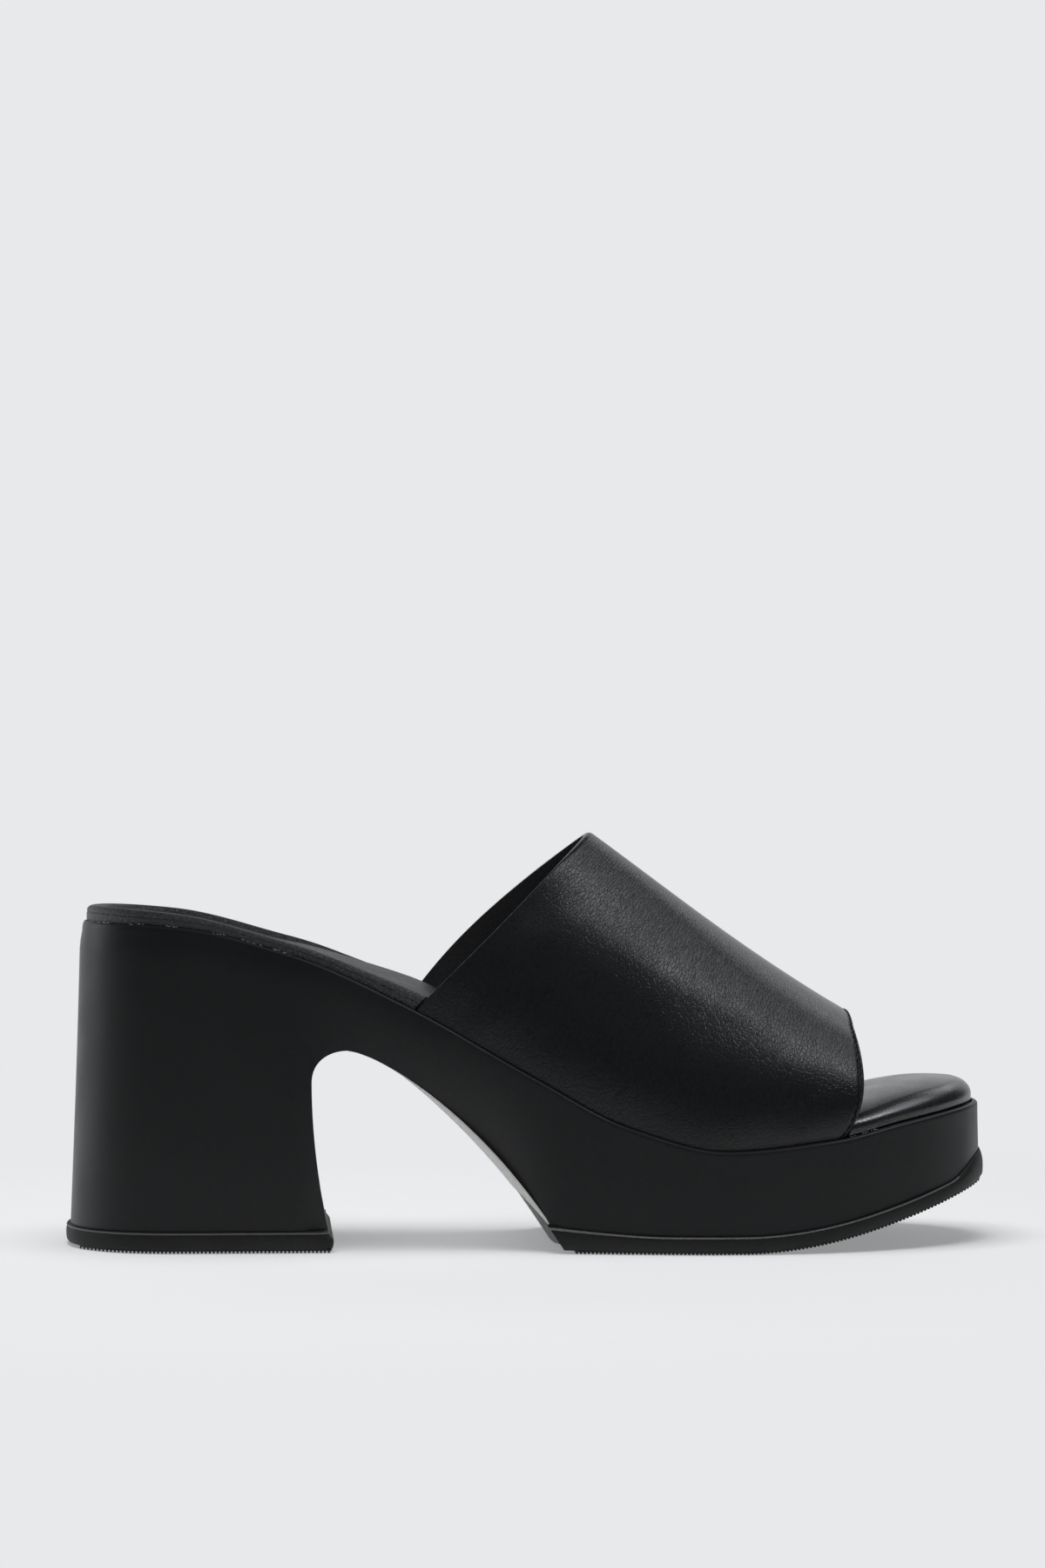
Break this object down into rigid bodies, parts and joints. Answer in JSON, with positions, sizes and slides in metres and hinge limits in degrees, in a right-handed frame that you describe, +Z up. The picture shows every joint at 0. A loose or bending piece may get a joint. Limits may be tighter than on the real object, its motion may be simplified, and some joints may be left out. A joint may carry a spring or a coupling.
{
  "type": "platform mule with block heel",
  "caption": "Right platform mule: a wide leather-look strap over a padded insole, on a moulded black platform sole with a block heel.",
  "frame": {"origin": "on the floor under the middle of the shoe's box", "axes": "+X from heel to toe, +Y to the inner side of the foot, +Z up"},
  "size_m": [0.2514, 0.0896, 0.1113],
  "materials": {
    "strap_leather": "satin, fine grain",
    "footbed_leather": "satin, pebbled",
    "sole_unit": "matt to satin",
    "outsole_rubber": "matt",
    "arch_panel_pale": "satin"
  },
  "bodies": {
    "root": {"upper": "strap_leather", "insole": "footbed_leather", "platform_sole": "sole_unit", "outsole": "outsole_rubber", "heel_top_piece": "outsole_rubber", "arch_panel": "arch_panel_pale"}
  },
  "joints": []
}
